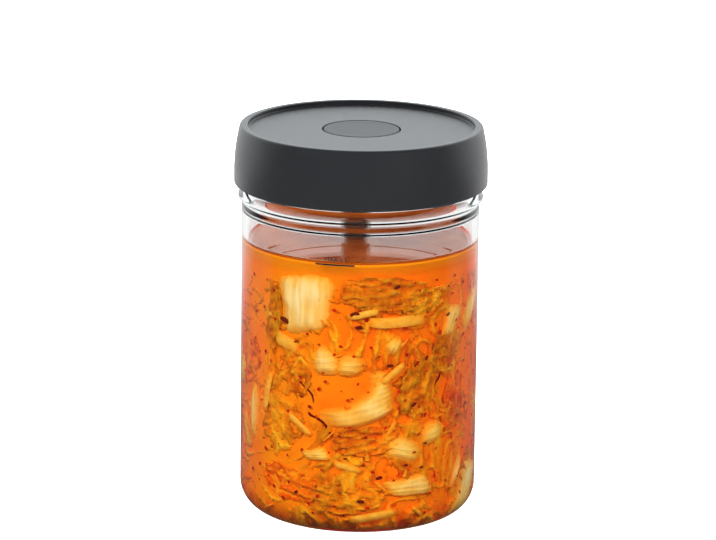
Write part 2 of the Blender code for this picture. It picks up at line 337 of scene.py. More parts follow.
# %% Turn the glass
BODY_TOP = 145.3
BEAD_RADIUS = 55.6
BEAD_ROUND = 1.0
BEAD_HEIGHT = 146.65
BEAD_CROWN = (52.6, 150.3)
NECK_RADIUS = 52.0
NECK_INNER = 48.0
NECK_FROM = 155.0
INNER_WAVES = [(49.2, 148.0), (50.7, 143.8), (50.1, 140.9), (INNER_RADIUS, 139.5)]

corner = arc((JAR_RADIUS - BASE_CORNER, BASE_CORNER), BASE_CORNER, -90, 0, 18)
bead = arc((BEAD_RADIUS - BEAD_ROUND, BEAD_HEIGHT), BEAD_ROUND, -80, 0, 10)
for step in range(1, 13):
    share = step / 12
    radius = BEAD_RADIUS + (BEAD_CROWN[0] - BEAD_RADIUS) * share ** 1.7
    bead.append((radius, BEAD_HEIGHT + (BEAD_CROWN[1] - BEAD_HEIGHT) * share))
lip = (NECK_RADIUS - NECK_INNER) / 2
mouth = arc((NECK_RADIUS - lip, MOUTH - lip), lip, 0, 180, 12)
shoulder = [(NECK_INNER, NECK_FROM)]
for wave in INNER_WAVES:
    shoulder += ease(shoulder[-1], wave, 12)[1:]
inner_corner = arc((INNER_RADIUS - INNER_CORNER, BASE_THICKNESS + INNER_CORNER), INNER_CORNER, 0, -90, 14)
jar_outline = [(0, 0), (20, 0)] + corner + [(JAR_RADIUS, BODY_TOP)] + bead
jar_outline += [(NECK_RADIUS, BEAD_CROWN[1] + 0.3)] + mouth + shoulder
jar_outline += inner_corner + [(20, BASE_THICKNESS), (0, BASE_THICKNESS)]
jar = turned("glass_jar", jar_outline)
jar.data.materials.append(glass)
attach(jar, "root")
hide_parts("jar")

# %% [markdown]
# ## The lid
# The lid is moulded in dark plastic: a chamfered foot, a gently barrelled side, a raised rim and a
# disc set 2 mm below it. The outline gives the form, and a narrow bevel on its corners catches the
# light as a moulded edge does.

# %% Turn the lid
LID_FOOT = (56.4, 151.9)
LID_RADIUS = 57.5
LID_CHAMFER_TOP = 153.0
BARREL_FROM = 158.0
BARREL_RADIUS = 85.0
LID_TOP = 179.0
RIM_OUTER = 54.5
RIM_INNER = 51.3
DISC_TOP = 177.0
CEILING = 173.5
SKIRT_INNER = 52.3
VENT_RADIUS = 17.5
VENT_GAP = 0.3
VENT_SEAT = 175.0

barrel = []
for step in range(13):
    rise = (LID_TOP - 1.2 - BARREL_FROM) * step / 12
    barrel.append((LID_RADIUS - rise ** 2 / (2 * BARREL_RADIUS), BARREL_FROM + rise))
barrel_end = barrel[-1]
rim_corner = [
    (barrel_end[0] - 0.12, barrel_end[1] + 0.5), (RIM_OUTER + 0.15, LID_TOP - 0.18),
    (RIM_OUTER - 0.35, LID_TOP)]
rim_fall = arc((RIM_INNER + 0.6, LID_TOP - 0.6), 0.6, 90, 180, 5)
disc_fillet = arc((RIM_INNER - 0.5, DISC_TOP + 0.5), 0.5, 0, -90, 4)
seat_edge = arc((VENT_RADIUS + VENT_GAP + 0.3, DISC_TOP - 0.3), 0.3, 90, 180, 3)
lid_outline = [(0, CEILING), (SKIRT_INNER, CEILING), (SKIRT_INNER, LID_FOOT[1])]
lid_outline += arc((LID_FOOT[0] - 0.3, LID_FOOT[1] + 0.3), 0.3, -90, -45, 2)
lid_outline += arc((LID_RADIUS - 0.8, LID_CHAMFER_TOP + 0.2), 0.8, -45, 0, 4)
lid_outline += barrel + rim_corner + rim_fall + disc_fillet + seat_edge
lid_outline += [(VENT_RADIUS + VENT_GAP, VENT_SEAT), (0, VENT_SEAT)]
lid = turned("lid_shell", lid_outline, steps=192)

# %% [markdown]
# ### Satin plastic
# The moulded skin is not quite smooth. Two noises work together: a fine one, a third of a
# millimetre across, raises a satin grain, and a broad one lets the roughness drift a little, as
# handling and the mould leave it. The colour hardly changes, so its ramp is nearly flat.


# %% Plastic finish
def satin_plastic(name, colour, roughness, grain):
    material, tree, shader = new_material(name)
    broad = object_noise(tree, 45.0, 2.0)
    fine = object_noise(tree, 2600.0, 2.0)
    low = tuple(0.97 * part for part in colour)
    high = tuple(1.03 * part for part in colour)
    tree.links.new(colour_ramp(tree, broad, [(0.2, low), (0.8, high)]), shader.inputs["Base Color"])
    drift = add_node(
        tree, "ShaderNodeMapRange", Value=broad, To_Min=roughness - 0.008, To_Max=roughness + 0.008)
    tree.links.new(drift.outputs["Result"], shader.inputs["Roughness"])
    tree.links.new(bump(tree, fine, grain, 0.00008), shader.inputs["Normal"])
    return material


lid_plastic = satin_plastic("lid_plastic", (0.012, 0.0125, 0.014), 0.27, 0.8)
lid.data.materials.append(lid_plastic)
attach(lid, "root")
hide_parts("lid")

# %% [markdown]
# ### The vent
# A soft round cap closes the vent and lies flush in the disc. It is turned like the rest, with a
# rounded edge, so that a fine dark line shows between it and the lid. Its face dips by a hair.

# %% Turn the vent
CAP_RADIUS = VENT_RADIUS - 0.3
CAP_BOTTOM = VENT_SEAT + 0.3
vent_edge = arc((CAP_RADIUS - 0.5, DISC_TOP - 0.5), 0.5, 0, 90, 5)
vent_outline = [(0, CAP_BOTTOM), (CAP_RADIUS, CAP_BOTTOM)] + vent_edge
vent_outline += [(VENT_RADIUS - 3, DISC_TOP), (VENT_RADIUS - 4.5, DISC_TOP - 0.12), (0, DISC_TOP - 0.15)]
vent = turned("vent_cap", vent_outline, steps=96)
vent.data.materials.append(satin_plastic("vent_plastic", (0.020, 0.021, 0.023), 0.42, 0.6))
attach(vent, "root")
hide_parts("vent")

# %% [markdown]
# ## The stem
# Only a short length of the steel presser shows, between the lid and the liquid: a collar, and a
# thinner rod that goes down into the brine. Both are turned bars with small rounded edges, and the
# brushed look comes from noise stretched round the bar.


# %% Steel finish and the two bars
def bar_outline(radius, bottom, top, edge):
    low = arc((radius - edge, bottom + edge), edge, -90, 0, 4)
    high = arc((radius - edge, top - edge), edge, 0, 90, 4)
    return [(0, bottom)] + low + high + [(0, top)]


steel, tree, shader = new_material("steel")
shader.inputs["Metallic"].default_value = 1.0
brushing = object_noise(tree, 900.0, 3.0, stretch=(0.15, 0.15, 1.0))
steel_colour = colour_ramp(tree, brushing, [(0.3, (0.48, 0.46, 0.44)), (0.7, (0.66, 0.64, 0.61))])
tree.links.new(steel_colour, shader.inputs["Base Color"])
steel_rough = add_node(tree, "ShaderNodeMapRange", Value=brushing, To_Min=0.18, To_Max=0.34)
tree.links.new(steel_rough.outputs["Result"], shader.inputs["Roughness"])
tree.links.new(bump(tree, brushing, 0.25, 0.0001), shader.inputs["Normal"])

for node_name in ("stem_collar", "stem_rod"):
    low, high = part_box(node_name)
    radius = (high[0] - low[0]) / 2 / MM
    axis_x = (high[0] + low[0]) / 2 / MM
    bar = turned(node_name + "_steel", bar_outline(radius, low[2] / MM, high[2] / MM, 0.5), 64, axis_x)
    bar.data.materials.append(steel)
    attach(bar, "root")
    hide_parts(node_name)

# %% [markdown]
# ## The brine
# The liquid is a body of its own. It reaches 0.3 mm into the glass, so that no film of air shows
# between them, and creeps up the wall by a hair, as liquids do. Red light passes
# through it almost freely, green is held back and blue is swallowed: a piece that touches the
# glass keeps its cream colour, and one a few millimetres further in turns orange.

# %% Turn the brine and give it depth
INTO_WALL = 0.3
MENISCUS = 0.9
brine_radius = INNER_RADIUS + INTO_WALL
brine_corner_radius = INNER_CORNER + INTO_WALL
brine_corner = arc(
    (brine_radius - brine_corner_radius, BASE_THICKNESS + INNER_CORNER), brine_corner_radius, -90, 0, 14)
creep_steps = (0, 0.3, 0.6, 1, 1.6, 2.6, 4)
creep = [(brine_radius - away, BRINE_LEVEL + MENISCUS * math.exp(-away / 0.8)) for away in creep_steps]
brine_outline = [(0, BASE_THICKNESS - INTO_WALL), (20, BASE_THICKNESS - INTO_WALL)] + brine_corner + creep
brine_outline += [(40, BRINE_LEVEL), (20, BRINE_LEVEL), (0, BRINE_LEVEL)]
brine = turned("brine", brine_outline)
brine_material = clear("brine", 1.34, (1, 1, 1, 1), (1, 1, 1, 1))
tree = brine_material.node_tree
depth = add_node(tree, "ShaderNodeVolumeAbsorption", Color=(0.995, 0.74, 0.06, 1), Density=560.0)
tree.links.new(depth.outputs["Volume"], tree.nodes["Material Output"].inputs["Volume"])
brine.data.materials.append(brine_material)
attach(brine, "root")
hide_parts("kimchi")

# %% [markdown]
# ### The cloudy middle of the liquid
# Kimchi juice is cloudy: a few millimetres in, fine paste hides everything. So the liquid gets a
# second, closed body inside it, a smooth one that stops short of the glass by three millimetres
# and of the surface by half of one. Where no cabbage lies at the glass, this is the orange one
# sees. Under the surface it flares out to the glass, and its top is painted a dull copper, as
# painted shade for the shadow of the lid.

# %% Turn the cloud
CLOUD_TOP = BRINE_LEVEL - 0.5
CLOUD_DEPTH = 2.9
CLOUD_FLAT = 30


def cloud_depth(turn):
    """How far behind the glass the paste begins, deeper towards the right of the front."""
    return CLOUD_DEPTH + 0.5 * math.sin(turn) + 0.3 * math.sin(3 * turn + 1)


cloud_rise = [BASE_THICKNESS + 1 + step * 4 for step in range(int((CLOUD_TOP - 6) / 4))]
cloud_outline = [(0, BASE_THICKNESS + 0.8), (CLOUD_FLAT, BASE_THICKNESS + 0.8)]
cloud_outline += arc((INNER_RADIUS - INNER_CORNER, BASE_THICKNESS + 10), 9.2, -90, 0, 10)
cloud_outline += [(INNER_RADIUS - 0.3, height) for height in cloud_rise if height > BASE_THICKNESS + 12]
cloud_outline += arc((INNER_RADIUS - 1.3, CLOUD_TOP - 1), 1, 0, 90, 6)
cloud_outline += [(40, CLOUD_TOP), (20, CLOUD_TOP), (0, CLOUD_TOP)]
cloud = turned("brine_cloud", cloud_outline)
nearness = []
for vertex in cloud.data.vertices:
    distance = math.hypot(vertex.co.x, vertex.co.y)
    nearness.append(min(max((vertex.co.z / MM - CLOUD_TOP + 5) / 4, 0), 1))
    if distance > CLOUD_FLAT * MM:
        turn = math.atan2(vertex.co.x, -vertex.co.y)
        inset = cloud_depth(turn) + (0.6 - cloud_depth(turn)) * nearness[-1]
        vertex.co.x *= 1 - inset * MM / distance
        vertex.co.y *= 1 - inset * MM / distance
store_tints(cloud.data, nearness)
smooth(cloud, 180)

# %% [markdown]
# ### The look of the cloud
# Inside, the paste is a pale orange that the brine in front of it deepens. Where the cloud comes
# close to the glass there is no brine to do that, so its own colour turns to full orange, by the
# nearness that each point keeps as its tint. The very top is painted a dull copper: painted
# shade for the shadow of the lid on the liquid.

# %% Cloud finish
cloud_finish, tree, shader = new_material("brine_cloud")
shader.inputs["Roughness"].default_value = 0.6
shader.inputs["Specular IOR Level"].default_value = 0.05
swirl = object_noise(tree, 55.0, 2.0)
paste = colour_ramp(tree, swirl, [(0.35, (0.99, 0.58, 0.05)), (0.65, (1.0, 0.76, 0.09))])
flared = mixed(tree, tint_value(tree), paste, (1.0, 0.46, 0.010, 1))
place = add_node(tree, "ShaderNodeTexCoord").outputs["Object"]
height = add_node(tree, "ShaderNodeSeparateXYZ", Vector=place).outputs["Z"]
# Painted shade: the top of the cloud is darkened to copper for the shadow of the lid.
lid_shadow_mask = add_node(
    tree, "ShaderNodeMapRange", Value=height,
    From_Min=(CLOUD_TOP - 0.35) * MM, From_Max=(CLOUD_TOP - 0.05) * MM)
painted_lid_shadow = colour_ramp(tree, swirl, [(0.35, (0.46, 0.11, 0.03)), (0.65, (0.62, 0.20, 0.07))])
cloud_colour = mixed(tree, lid_shadow_mask.outputs["Result"], flared, painted_lid_shadow)
tree.links.new(cloud_colour, shader.inputs["Base Color"])
cloud.data.materials.append(cloud_finish)
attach(cloud, "root")
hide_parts("kimchi")

# %% [markdown]
# ## Laying pieces against the glass
# Each piece of cabbage is modelled flat on the ground, in millimetres, with Z towards the eye, and
# is then laid on the inside of the wall: its width runs round the jar, its length up it, and its
# height becomes the distance from the glass. Near the base the wall curves in, and the pieces
# follow it.


# %% From a flat piece to its place on the wall
def wall_radius(height, clearance=0.25):
    """The inside of the glass at a height, less a small clearance, in millimetres."""
    below = BASE_THICKNESS + INNER_CORNER - height
    radius = INNER_RADIUS - clearance
    if below <= 0:
        return radius
    return radius - INNER_CORNER + math.sqrt(max(INNER_CORNER ** 2 - min(below, INNER_CORNER) ** 2, 0))


def on_wall(angle, height, tilt):
    """A function that carries a flat point to the wall, at an angle from the front."""
    turn_cos = math.cos(math.radians(tilt))
    turn_sin = math.sin(math.radians(tilt))

    def place(point):
        aside = point.x * turn_cos - point.y * turn_sin
        up = height + point.x * turn_sin + point.y * turn_cos
        up = min(max(up, BASE_THICKNESS + 0.5), HEAP_TOP + 1)
        radius = wall_radius(up) + point.z
        turn = math.radians(angle) + aside / INNER_RADIUS
        return Vector((radius * math.sin(turn), -radius * math.cos(turn), up)) * MM

    return place


def on_top(distance, angle, height, turn):
    """The same for a piece that lies flat on top of the heap."""
    middle = Vector((math.cos(angle), math.sin(angle), 0)) * distance

    def place(point):
        aside = point.x * math.cos(turn) - point.y * math.sin(turn)
        along = point.x * math.sin(turn) + point.y * math.cos(turn)
        return (middle + Vector((aside, along, height + point.z))) * MM

    return place


def copy_to(master, place, size, tint):
    """Copy a flat piece, stretch it to its size and carry each of its points to its place."""
    mesh = master.data.copy()
    piece = bpy.data.objects.new(master.name, mesh)
    bpy.context.collection.objects.link(piece)
    stretch = Vector(size)
    for vertex in mesh.vertices:
        vertex.co = place(vertex.co * stretch)
    store_tints(mesh, [tint] * len(mesh.vertices))
    return piece


# %% [markdown]
# ### A unit square and its thickness
# Every master is drawn on a square one unit wide, and its heights are millimetres. Solidify pushes
# along the normals, so it has to see true proportions: the square is stretched to the usual size
# of the piece first, and is brought back to one unit afterwards.


# %% Flat grid and thickness
def flat_grid(columns, rows):
    select_only()
    bpy.ops.mesh.primitive_grid_add(x_subdivisions=columns, y_subdivisions=rows, size=1)
    return bpy.context.object


def thicken(flat, length, width, thickness):
    flat.scale = (length, width, 1)
    settle(flat, "thickened")
    apply_modifier(flat, "SOLIDIFY", thickness=thickness, offset=-1)
    flat.scale = (1 / length, 1 / width, 1)
    return settle(flat, "thickened")


# %% [markdown]
# ## White stem pieces
# The pale pieces are cut from the ribs of the cabbage: a few millimetres thick, crowned, and
# marked by fibres that run their length. The master is a grid one unit square whose rim is pulled
# in and down; the fibres are shallow waves across it, and Solidify gives it its thickness. The
# first of the three is a flat slab, and the others are domed, so that they fade into the brine.


# %% Model three ribs
def make_rib(seed):
    rib = flat_grid(20, 42)
    offset = Vector((seed * 5.7, seed * 2.9, 0))
    for vertex in rib.data.vertices:
        along, across = 2 * vertex.co.x, 2 * vertex.co.y
        ragged = noise.noise(Vector((along * 1.1, across * 1.1, 0)) + offset)
        nick = noise.noise(Vector((along * 4.5, across * 4.5, 9)) + offset)
        vertex.co.y *= 1 - 0.14 * abs(along) ** 6 + 0.26 * ragged + 0.10 * nick
        vertex.co.x *= 1 - 0.10 * abs(across) ** 6 + 0.16 * ragged + 0.08 * nick
        vertex.co.x += 0.10 * across * (seed - 1)
        if not seed:
            vertex.co.y *= 0.86 + 0.14 * along
            vertex.co.y -= 0.06 * (1 - along)
        fibre = 0.08 * math.sin(34 * across) + 0.12 * math.sin(13 * across + 0.7 * along)
        dent = 0.5 * noise.noise(Vector((along * 1.4, across * 1.4, 3)) + offset)
        if seed:
            crown = min(2.8 * (along ** 2 + across ** 2) ** 1.3, 5)
        else:
            crown = 3.4 * abs(across) ** 5 + 3.4 * abs(along) ** 6
        vertex.co.z = min(fibre + dent - 0.3, 0) - crown
    return thicken(rib, 24, 15, 3.0)


rib_masters = [make_rib(seed) for seed in range(3)]

# %% [markdown]
# ### Placing the pieces
# Every piece that shows at the front has a line of its own: its angle from the front and its tilt
# in degrees, and its height, length and width in millimetres. The back repeats the same kinds by a
# rule. Steps of the golden ratio share out the angles evenly and never line up, and seeded draws
# shift, turn and size each copy a little.

# %% Copy the ribs round the jar
# Angle from the front, height and tilt, then length, width and tint of each rib
FRONT_RIBS = [
    (-31, 107, 82, 29, 31, 0.95),
    (-17, 81, 10, 14, 15, 0.5),
    (-4, 80, 0, 14, 12, 0.2),
    (53, 97, 60, 17, 12, 0.3),
    (18, 89, 70, 10, 9, 0.1),
    (-65, 51, 85, 29, 9, 0.6),
    (-22, 38, 5, 14, 7, 0.1),
    (24, 40, -15, 22, 13, 0.25),
    (41, 46, 10, 15, 12, 0.2),
    (28, 23, -2, 25, 11, 0.35),
    (60, 25, 65, 19, 6, 0.5),
]
GOLDEN_RATIO = (1 + math.sqrt(5)) / 2
BACK_FROM, BACK_TO = 70, 290
BACK_RIBS = 15
draw = random.Random(5)


def spread(count):
    """Even places round the back of the wall, each a little off its own spot."""
    for index in range(count):
        angle = BACK_FROM + (BACK_TO - BACK_FROM) * ((index * GOLDEN_RATIO) % 1)
        height = 11 + (HEAP_TOP - 24) * (index + 0.5) / count
        yield angle + draw.uniform(-4, 4), height + draw.uniform(-3, 3)


ribs = []
for index, (angle, height, tilt, length, width, tint) in enumerate(FRONT_RIBS):
    place = on_wall(angle, height, tilt)
    ribs.append(copy_to(rib_masters[index % 3], place, (length, width, 1), tint))
for index, (angle, height) in enumerate(spread(BACK_RIBS)):
    place = on_wall(angle, height, draw.uniform(-90, 90))
    size = (draw.uniform(16, 29), draw.uniform(10, 24), 1)
    ribs.append(copy_to(rib_masters[index % 3], place, size, draw.uniform(0.2, 1)))
stems = join(ribs, "cabbage_stems")
for master in rib_masters:
    bpy.data.objects.remove(master)
smooth(stems, 60)
report(stems)

# %% [markdown]
# ### The look of cabbage stem
# Under the brine the stem is cream to pale yellow. Noise stretched along the piece draws its
# fibres, and the tint attribute, one number for each copy, makes some pieces yellower than others.


# %% Stem finish
def wet(shader):
    """Under brine a surface hardly glints, so its own reflection is nearly off."""
    shader.inputs["Roughness"].default_value = 0.45
    shader.inputs["Specular IOR Level"].default_value = 0.1


stem_finish, tree, shader = new_material("cabbage_stem")
wet(shader)
fibres = object_noise(tree, 420.0, 3.0, stretch=(1, 1, 0.16))
clouds = object_noise(tree, 90.0, 3.0)
pale = colour_ramp(tree, fibres, [
    (0.3, (0.86, 0.72, 0.40)), (0.55, (0.96, 0.90, 0.72)), (0.8, (0.98, 0.95, 0.86))])
yellow = colour_ramp(tree, clouds, [(0.35, (0.86, 0.52, 0.08)), (0.65, (0.95, 0.74, 0.22))])
tree.links.new(mixed(tree, tint_value(tree), yellow, pale), shader.inputs["Base Color"])
tree.links.new(bump(tree, fibres, 0.4, 0.0003), shader.inputs["Normal"])
stems.data.materials.append(stem_finish)
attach(stems, "root")
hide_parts("kimchi")

# %% [markdown]
# ## The cupped root end
# Low in the middle of the front lies the curved base of a leaf, hollow towards the glass and full
# of brine. Its rim touches the wall on the right and below, and shows pale yellow there. At the
# upper left it sinks back into the brine, and its floor, four millimetres back, glows orange.

# %% Model the cup
CUP = (-5, 64, 12)
CUP_LENGTH, CUP_WIDTH, CUP_DEPTH = 42, 28, 4.2
cup = flat_grid(60, 44)
for vertex in cup.data.vertices:
    along, across = 2 * vertex.co.x, 2 * vertex.co.y
    vertex.co.y *= 1 - 0.42 * abs(along) ** 2.5
    from_hollow = math.hypot(along + 0.2, across - 0.6)
    rim = min(max((from_hollow - 0.55) / 0.45, 0), 1) * min(1.25 + 0.7 * min(along, 0), 1)
    hollow = 1 - rim ** 1.3
    ripple = 0.25 * math.sin(9 * along + 5 * across) + 0.12 * math.sin(30 * across)
    edge = max(max(abs(across), abs(along)) - 0.62, 0) / 0.38
    lower_left = max(0.35 - along, 0)
    vertex.co.z = -0.3 - CUP_DEPTH * hollow + ripple * rim - 3.2 * edge ** 2.2 - 1.1 * lower_left * rim
cup = thicken(cup, CUP_LENGTH, CUP_WIDTH, 2.5)
cup_piece = copy_to(cup, on_wall(*CUP), (CUP_LENGTH, CUP_WIDTH, 1), 0.42)
bpy.data.objects.remove(cup)
settle(cup_piece, "cabbage_cup")
smooth(cup_piece, 60)
cup_piece.data.materials.append(stem_finish)
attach(cup_piece, "root")
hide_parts("kimchi")
report(cup_piece)

# %% [markdown]
# ## Crinkled leaves
# The green parts of the cabbage are thin and crumpled. A grid is given an uneven outline, and the
# Displace modifier folds it twice, with broad clouds and then with finer ones, before Solidify
# makes it 0.7 mm thick. Three masters, folded differently, keep the copies from looking alike.


# %% Model three leaves
def cloud_texture(name, size, depth):
    texture = bpy.data.textures.new(name, "CLOUDS")
    texture.noise_scale = size
    texture.noise_depth = depth
    return texture


def make_leaf(seed):
    leaf = flat_grid(42, 26)
    offset = Vector((seed * 7.3, seed * 3.1, 0))
    for vertex in leaf.data.vertices:
        along, across = 2 * vertex.co.x, 2 * vertex.co.y
        ragged = noise.noise(Vector((along * 3, across * 3, 0)) + offset)
        vertex.co.y *= 0.62 + 0.38 * math.cos(along * 1.3) + 0.16 * ragged
        vertex.co.x *= 1 - 0.14 * across ** 2 + 0.10 * ragged
    leaf.location = offset
    settle(leaf, "leaf_master")
    apply_modifier(leaf, "DISPLACE", texture=cloud_texture("folds", 0.16, 1), texture_coords="LOCAL",
                   strength=4.0, mid_level=0.5, direction="Z")
    apply_modifier(leaf, "DISPLACE", texture=cloud_texture("wrinkles", 0.05, 2), texture_coords="LOCAL",
                   strength=1.2, mid_level=0.5, direction="Z")
    leaf.location = -offset
    settle(leaf, "leaf_master")
    heights = [vertex.co.z for vertex in leaf.data.vertices]
    for vertex in leaf.data.vertices:
        vertex.co.z -= max(heights) + 0.1
    return thicken(leaf, 28, 16, 0.7)


leaf_masters = [make_leaf(seed) for seed in range(3)]

# %% Copy the leaves round the jar and over the top
# Angle from the front, height, tilt, length and width of each leaf
FRONT_LEAVES = [
    (14, 113, -4, 40, 15),
    (49, 84, 70, 20, 15),
    (-39, 75, 80, 24, 24),
    (-48, 98, 85, 30, 9),
    (32, 68, 70, 26, 18),
    (-42, 48, 25, 26, 18),
    (4, 45, 5, 30, 13),
    (-38, 22, -10, 30, 15),
    (-5, 18, 0, 34, 14),
    (34, 108, 10, 22, 12),
    (56, 58, 80, 28, 14),
]
BACK_LEAVES = 14
TOP_LEAVES = 5
leaves = []
for index, (angle, height, tilt, length, width) in enumerate(FRONT_LEAVES):
    place = on_wall(angle, height, tilt)
    leaves.append(copy_to(leaf_masters[index % 3], place, (length, width, 1), draw.random()))
for index, (angle, height) in enumerate(spread(BACK_LEAVES)):
    place = on_wall(angle + 9, height + 4, draw.uniform(-90, 90))
    size = (draw.uniform(20, 36), draw.uniform(12, 22), 1)
    leaves.append(copy_to(leaf_masters[index % 3], place, size, draw.random()))
for index in range(TOP_LEAVES):
    angle = math.tau * index / TOP_LEAVES
    place = on_top(28, angle, HEAP_TOP, angle + draw.uniform(1, 2))
    size = (draw.uniform(22, 30), draw.uniform(12, 18), 1)
    leaves.append(copy_to(leaf_masters[index % 3], place, size, draw.random()))
leafage = join(leaves, "cabbage_leaves")
for master in leaf_masters:
    bpy.data.objects.remove(master)
smooth(leafage, 80)
report(leafage)

# %% [markdown]
# ### The look of the leaves
# The leaves run from olive gold to chilli red, and each copy's tint sets it between the two. A
# broad noise then shades some of them towards olive, and a fine one draws dark veins.

# %% Leaf finish
leaf_finish, tree, shader = new_material("cabbage_leaf")
wet(shader)
blotches = object_noise(tree, 160.0, 4.0)
veins = object_noise(tree, 700.0, 3.0, stretch=(1, 1, 0.4))
green = colour_ramp(tree, blotches, [
    (0.3, (0.50, 0.28, 0.015)), (0.5, (0.78, 0.50, 0.04)), (0.7, (0.92, 0.72, 0.12))])
red = colour_ramp(tree, blotches, [
    (0.3, (0.68, 0.13, 0.01)), (0.5, (0.88, 0.30, 0.02)), (0.7, (0.93, 0.50, 0.05))])
leaf_base = mixed(tree, tint_value(tree), green, red)
dark_veins = colour_ramp(tree, veins, [(0.35, (0.72, 0.58, 0.42)), (0.5, (1, 1, 1))])
olive = colour_ramp(tree, object_noise(tree, 46.0, 2.0), [(0.40, (0.80, 0.78, 0.60)), (0.56, (1, 1, 1))])
leaf_colour = multiplied(tree, 0.7, multiplied(tree, 1.0, leaf_base, olive), dark_veins)
tree.links.new(leaf_colour, shader.inputs["Base Color"])
tree.links.new(bump(tree, veins, 0.5, 0.0004), shader.inputs["Normal"])
leafage.data.materials.append(leaf_finish)
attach(leafage, "root")
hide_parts("kimchi")

# %% [markdown]
# ## The mash between the pieces
# Between the large pieces everything is chopped fine. One closed body stands for it: a turned
# shape whose wall is pushed inwards by noise. The noise is warped by another and leans up or down
# from place to place, so that its ridges run like shreds and folds.

# %% Turn the mash
MASH_BASE = BASE_THICKNESS + 0.6
MASH_TOP = 118.0
MASH_SEGMENTS = 380
MASH_STEP = 0.72
MASH_FLAT = 30
mash_rows = int((MASH_TOP - 3 - MASH_BASE) / MASH_STEP)
heights = [MASH_BASE + 0.3 + row * MASH_STEP for row in range(mash_rows)]
mash_outline = [(0, MASH_BASE), (14, MASH_BASE), (28, MASH_BASE)]
mash_outline += [(wall_radius(height), height) for height in heights]
mash_outline += [(48, MASH_TOP - 1.5)] + [(reach, MASH_TOP) for reach in (44, 36, 24, 12, 0)]
mash = turned("cabbage_mash", mash_outline, steps=MASH_SEGMENTS)


# %% Fold its wall
def folds(place, size):
    """Ridges, from 0 to 1, along the lines where a warped noise changes its sign."""
    warp = Vector((noise.noise(place / (2 * size)), noise.noise(place / (2 * size) + Vector((7, 3, 1))), 0))
    return 1 - min(abs(2.4 * noise.noise(place / size + 1.3 * warp)), 1)


relief_for_painted_shade = []
for vertex in mash.data.vertices:
    x, y, up = (part / MM for part in vertex.co)
    radius = math.hypot(x, y)
    if radius < MASH_FLAT:
        relief_for_painted_shade.append(0.5)
        continue
    turn = math.atan2(x, -y)
    lean = 0.8 * noise.noise(Vector((math.sin(turn) * 2, math.cos(turn) * 2, up / 25)))
    place = Vector((math.sin(turn) * 51, math.cos(turn) * 51, up + lean * 20))
    relief = 0.62 * folds(place, 9) + 0.28 * folds(place, 3.8) + 0.10 * folds(place, 1.7)
    broad = noise.noise(place / 14)
    inward = 0.7 + 4.4 * (1 - relief) - 1.2 * broad
    # Make room for the cup and the brine in front of it
    beside = math.remainder(turn - math.radians(CUP[0]), math.tau) * INNER_RADIUS / (CUP_LENGTH / 2.6)
    above = (up - CUP[1]) / (CUP_WIDTH / 2.6)
    inward += 6 * math.exp(-beside ** 4 - above ** 4)
    scale = (radius - max(inward, 0.4)) / radius
    vertex.co.x *= scale
    vertex.co.y *= scale
    # The tint keeps the relief, which the finish turns into painted shade: dark in the hollows.
    relief_for_painted_shade.append(relief + 0.25 * broad)
store_tints(mash.data, relief_for_painted_shade)
smooth(mash, 180)

# %% [markdown]
# ### The look of the mash
# Each point keeps how far it stands out as its tint. With a fine noise added, that leads from a
# dark red in the hollows to pale gold on the ridges: painted shade, darker and redder where the
# mash lies deeper. There is a golden ramp and a redder one, mixed in patches, and a fine grit of
# chilli goes over both.

# %% Mash finish
mash_finish, tree, shader = new_material("cabbage_mash")
wet(shader)
patches = object_noise(tree, 60.0, 3.0)
bits = object_noise(tree, 400.0, 4.0)
grit = object_noise(tree, 1100.0, 3.0)
# Painted shade: with the relief as tint, both ramps run dark and red in the hollows and pale on the ridges.
ridge = add_node(tree, "ShaderNodeMath", {"operation": "MULTIPLY_ADD"})
tree.links.new(bits, ridge.inputs[0])
ridge.inputs[1].default_value = 0.9
tree.links.new(tint_value(tree), ridge.inputs[2])
gold = colour_ramp(tree, ridge.outputs[0], [
    (0.55, (0.68, 0.25, 0.006)), (0.80, (0.82, 0.46, 0.015)), (1.0, (0.92, 0.72, 0.09))])
redder_ramp = colour_ramp(tree, ridge.outputs[0], [
    (0.55, (0.76, 0.20, 0.004)), (0.80, (0.88, 0.35, 0.010)), (1.0, (0.94, 0.56, 0.05))])
which = add_node(tree, "ShaderNodeMapRange", Value=patches, From_Min=0.40, From_Max=0.60).outputs["Result"]
mash_base = mixed(tree, which, gold, redder_ramp)
specks = colour_ramp(tree, grit, [(0.30, (0.60, 0.12, 0.03)), (0.40, (1, 1, 1))])
brown = colour_ramp(tree, object_noise(tree, 46.0, 2.0), [(0.40, (0.72, 0.62, 0.50)), (0.56, (1, 1, 1))])
mash_colour = multiplied(tree, 0.8, multiplied(tree, 1.0, mash_base, brown), specks)
tree.links.new(mash_colour, shader.inputs["Base Color"])
tree.links.new(bump(tree, bits, 0.5, 0.0006), shader.inputs["Normal"])
mash.data.materials.append(mash_finish)
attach(mash, "root")
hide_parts("kimchi")

# %% [markdown]
# ## Shreds
# Thin strips of stem and spring onion lie between the bigger pieces. One strip, slightly arched
# and tapered at its ends, is copied at many sizes. A few more copies are drawn out thin and kept
# apart: joined with the dark seeds further on, they are painted shade, dark lines where folded
# leaves meet.

# %% Model one shred and copy it
shred_master = flat_grid(28, 5)
for vertex in shred_master.data.vertices:
    along, across = 2 * vertex.co.x, 2 * vertex.co.y
    vertex.co.y *= 1 - 0.35 * along ** 4
    vertex.co.y += 0.10 * math.sin(2.6 * along)
    vertex.co.z = -0.15 - 2.6 * along ** 6 - 0.5 * across ** 2 + 0.12 * math.sin(9 * along)
shred_master = thicken(shred_master, 10, 1.8, 1.1)
